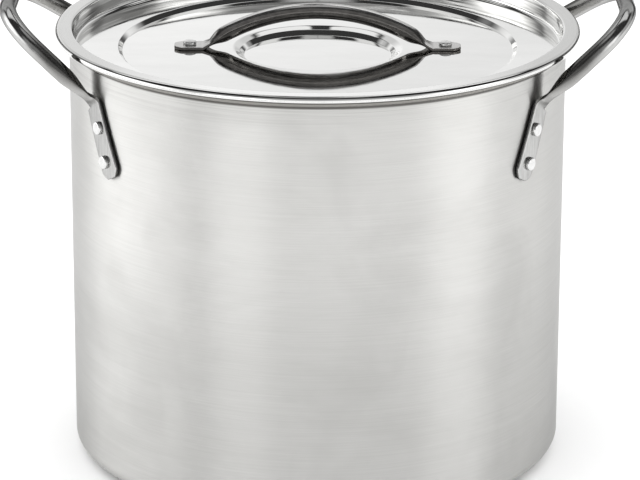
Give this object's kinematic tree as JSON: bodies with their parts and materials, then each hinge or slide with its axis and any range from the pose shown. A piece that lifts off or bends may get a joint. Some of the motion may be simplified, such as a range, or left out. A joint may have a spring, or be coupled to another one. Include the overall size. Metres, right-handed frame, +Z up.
{
  "type": "lidded stock pot",
  "caption": "Tall round stock pot of thin steel with a rolled rim, riveted loop handles and a stepped lid that lifts off by an arched handle.",
  "frame": {"origin": "on the pot's axis, on the surface that the base stands on", "axes": "+Z up, X from handle to handle, -Y towards the front"},
  "size_m": [0.3558, 0.296, 0.2667],
  "materials": {
    "wall_steel": "stainless steel, fine brushing round the wall, satin",
    "lid_steel": "stainless steel, polished almost to a mirror",
    "handle_steel": "stainless steel tube, polished with faint lengthwise drawing marks",
    "rivet_steel": "stainless steel, polished heads",
    "cap_steel": "stainless steel, fine turned rings",
    "core_aluminium": "bare aluminium, hidden"
  },
  "bodies": {
    "pot": {"pot_shell": "wall_steel", "base_core": "core_aluminium", "base_cap": "cap_steel", "side_handle_left": "handle_steel", "side_handle_right": "handle_steel", "rivet_left_front_upper": "rivet_steel", "rivet_left_front_lower": "rivet_steel", "rivet_left_rear_upper": "rivet_steel", "rivet_left_rear_lower": "rivet_steel", "rivet_right_front_upper": "rivet_steel", "rivet_right_front_lower": "rivet_steel", "rivet_right_rear_upper": "rivet_steel", "rivet_right_rear_lower": "rivet_steel"},
    "lid": {"lid_shell": "lid_steel", "lid_handle": "handle_steel", "lid_rivet_left": "rivet_steel", "lid_rivet_right": "rivet_steel"}
  },
  "joints": [
    {"name": "lid_lift", "type": "slide", "parent": "pot", "child": "lid", "axis": [0, 0, 1], "range_m": [0, 0.12]}
  ]
}
